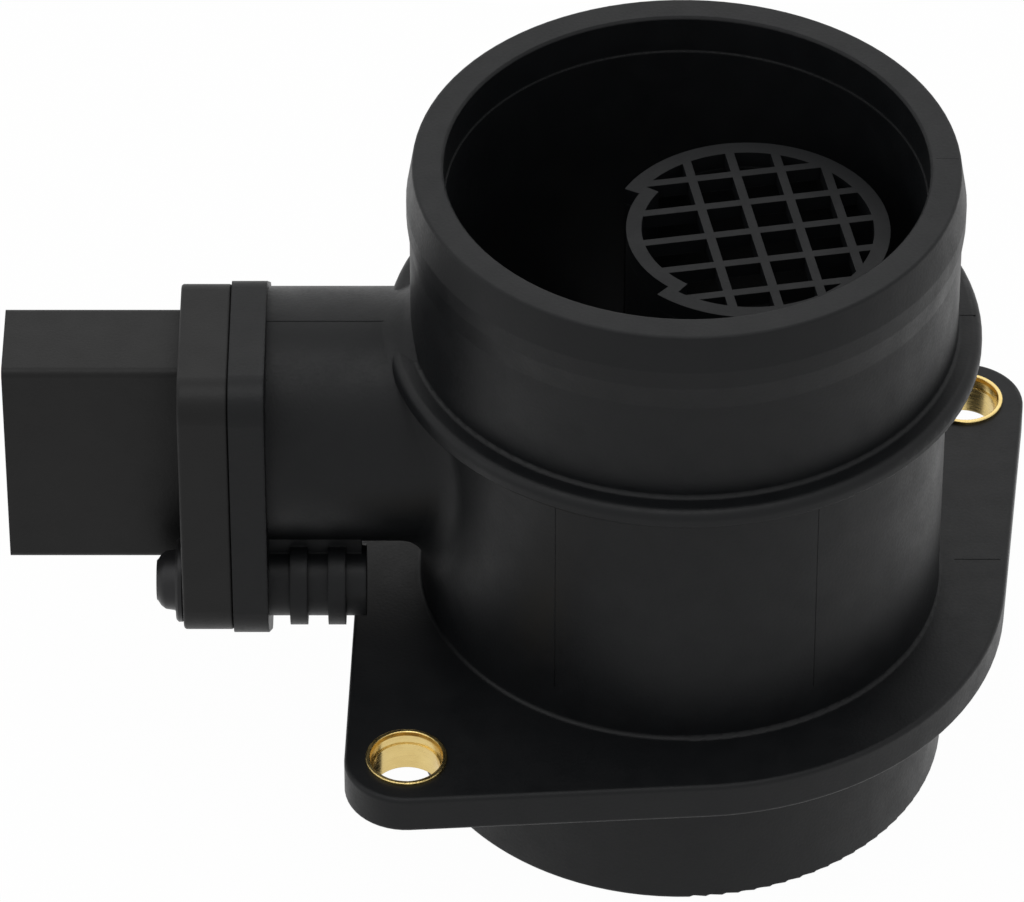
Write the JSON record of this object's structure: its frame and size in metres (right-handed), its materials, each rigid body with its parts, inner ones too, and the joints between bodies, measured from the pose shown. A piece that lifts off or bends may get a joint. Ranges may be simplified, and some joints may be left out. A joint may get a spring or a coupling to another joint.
{
  "type": "mass airflow sensor",
  "caption": "Upright air meter tube with hose spigots, a bolt flange, a lattice in its bore and a plug-in sensor whose connector points sideways.",
  "frame": {"origin": "on the tube's axis at the lower spigot's end", "axes": "+Z along the tube to the upper spigot, -X along the connector, -Y towards the screw that shows"},
  "size_m": [0.1362, 0.0891, 0.0955],
  "materials": {
    "housing": "fine spark-eroded moulding grain, satin on the rounded faces",
    "sensor_body": "satin moulding",
    "bush": "turned brass",
    "seal": "plain rubber",
    "metal_plate": "plain sheet",
    "ceramic": "pale ceramic",
    "chip": "moulded chip",
    "capacitor": "plain",
    "cover": "satin moulding",
    "carrier": "pale strip",
    "film": "polished chip",
    "bead": "dipped bead on bare leads",
    "screw": "black coated steel",
    "grid": "satin moulding",
    "duct": "satin moulding",
    "contact": "tinned strip"
  },
  "bodies": {
    "root": {"housing": "housing", "sensor_body": "sensor_body", "left_bush": "bush", "right_bush": "bush", "stem_seal": "seal", "base_plate": "metal_plate", "circuit_board": "ceramic", "control_chip": "chip", "capacitor_1": "capacitor", "capacitor_2": "capacitor", "electronics_cover": "cover", "bypass_cover": "cover", "chip_carrier": "carrier", "sensor_chip": "film", "temperature_sensor": "bead", "front_screw": "screw", "rear_screw": "screw", "flow_grid": "grid", "measuring_duct": "duct", "contact_pin_1": "contact", "contact_pin_2": "contact", "contact_pin_3": "contact", "contact_pin_4": "contact", "contact_pin_5": "contact"}
  },
  "joints": []
}
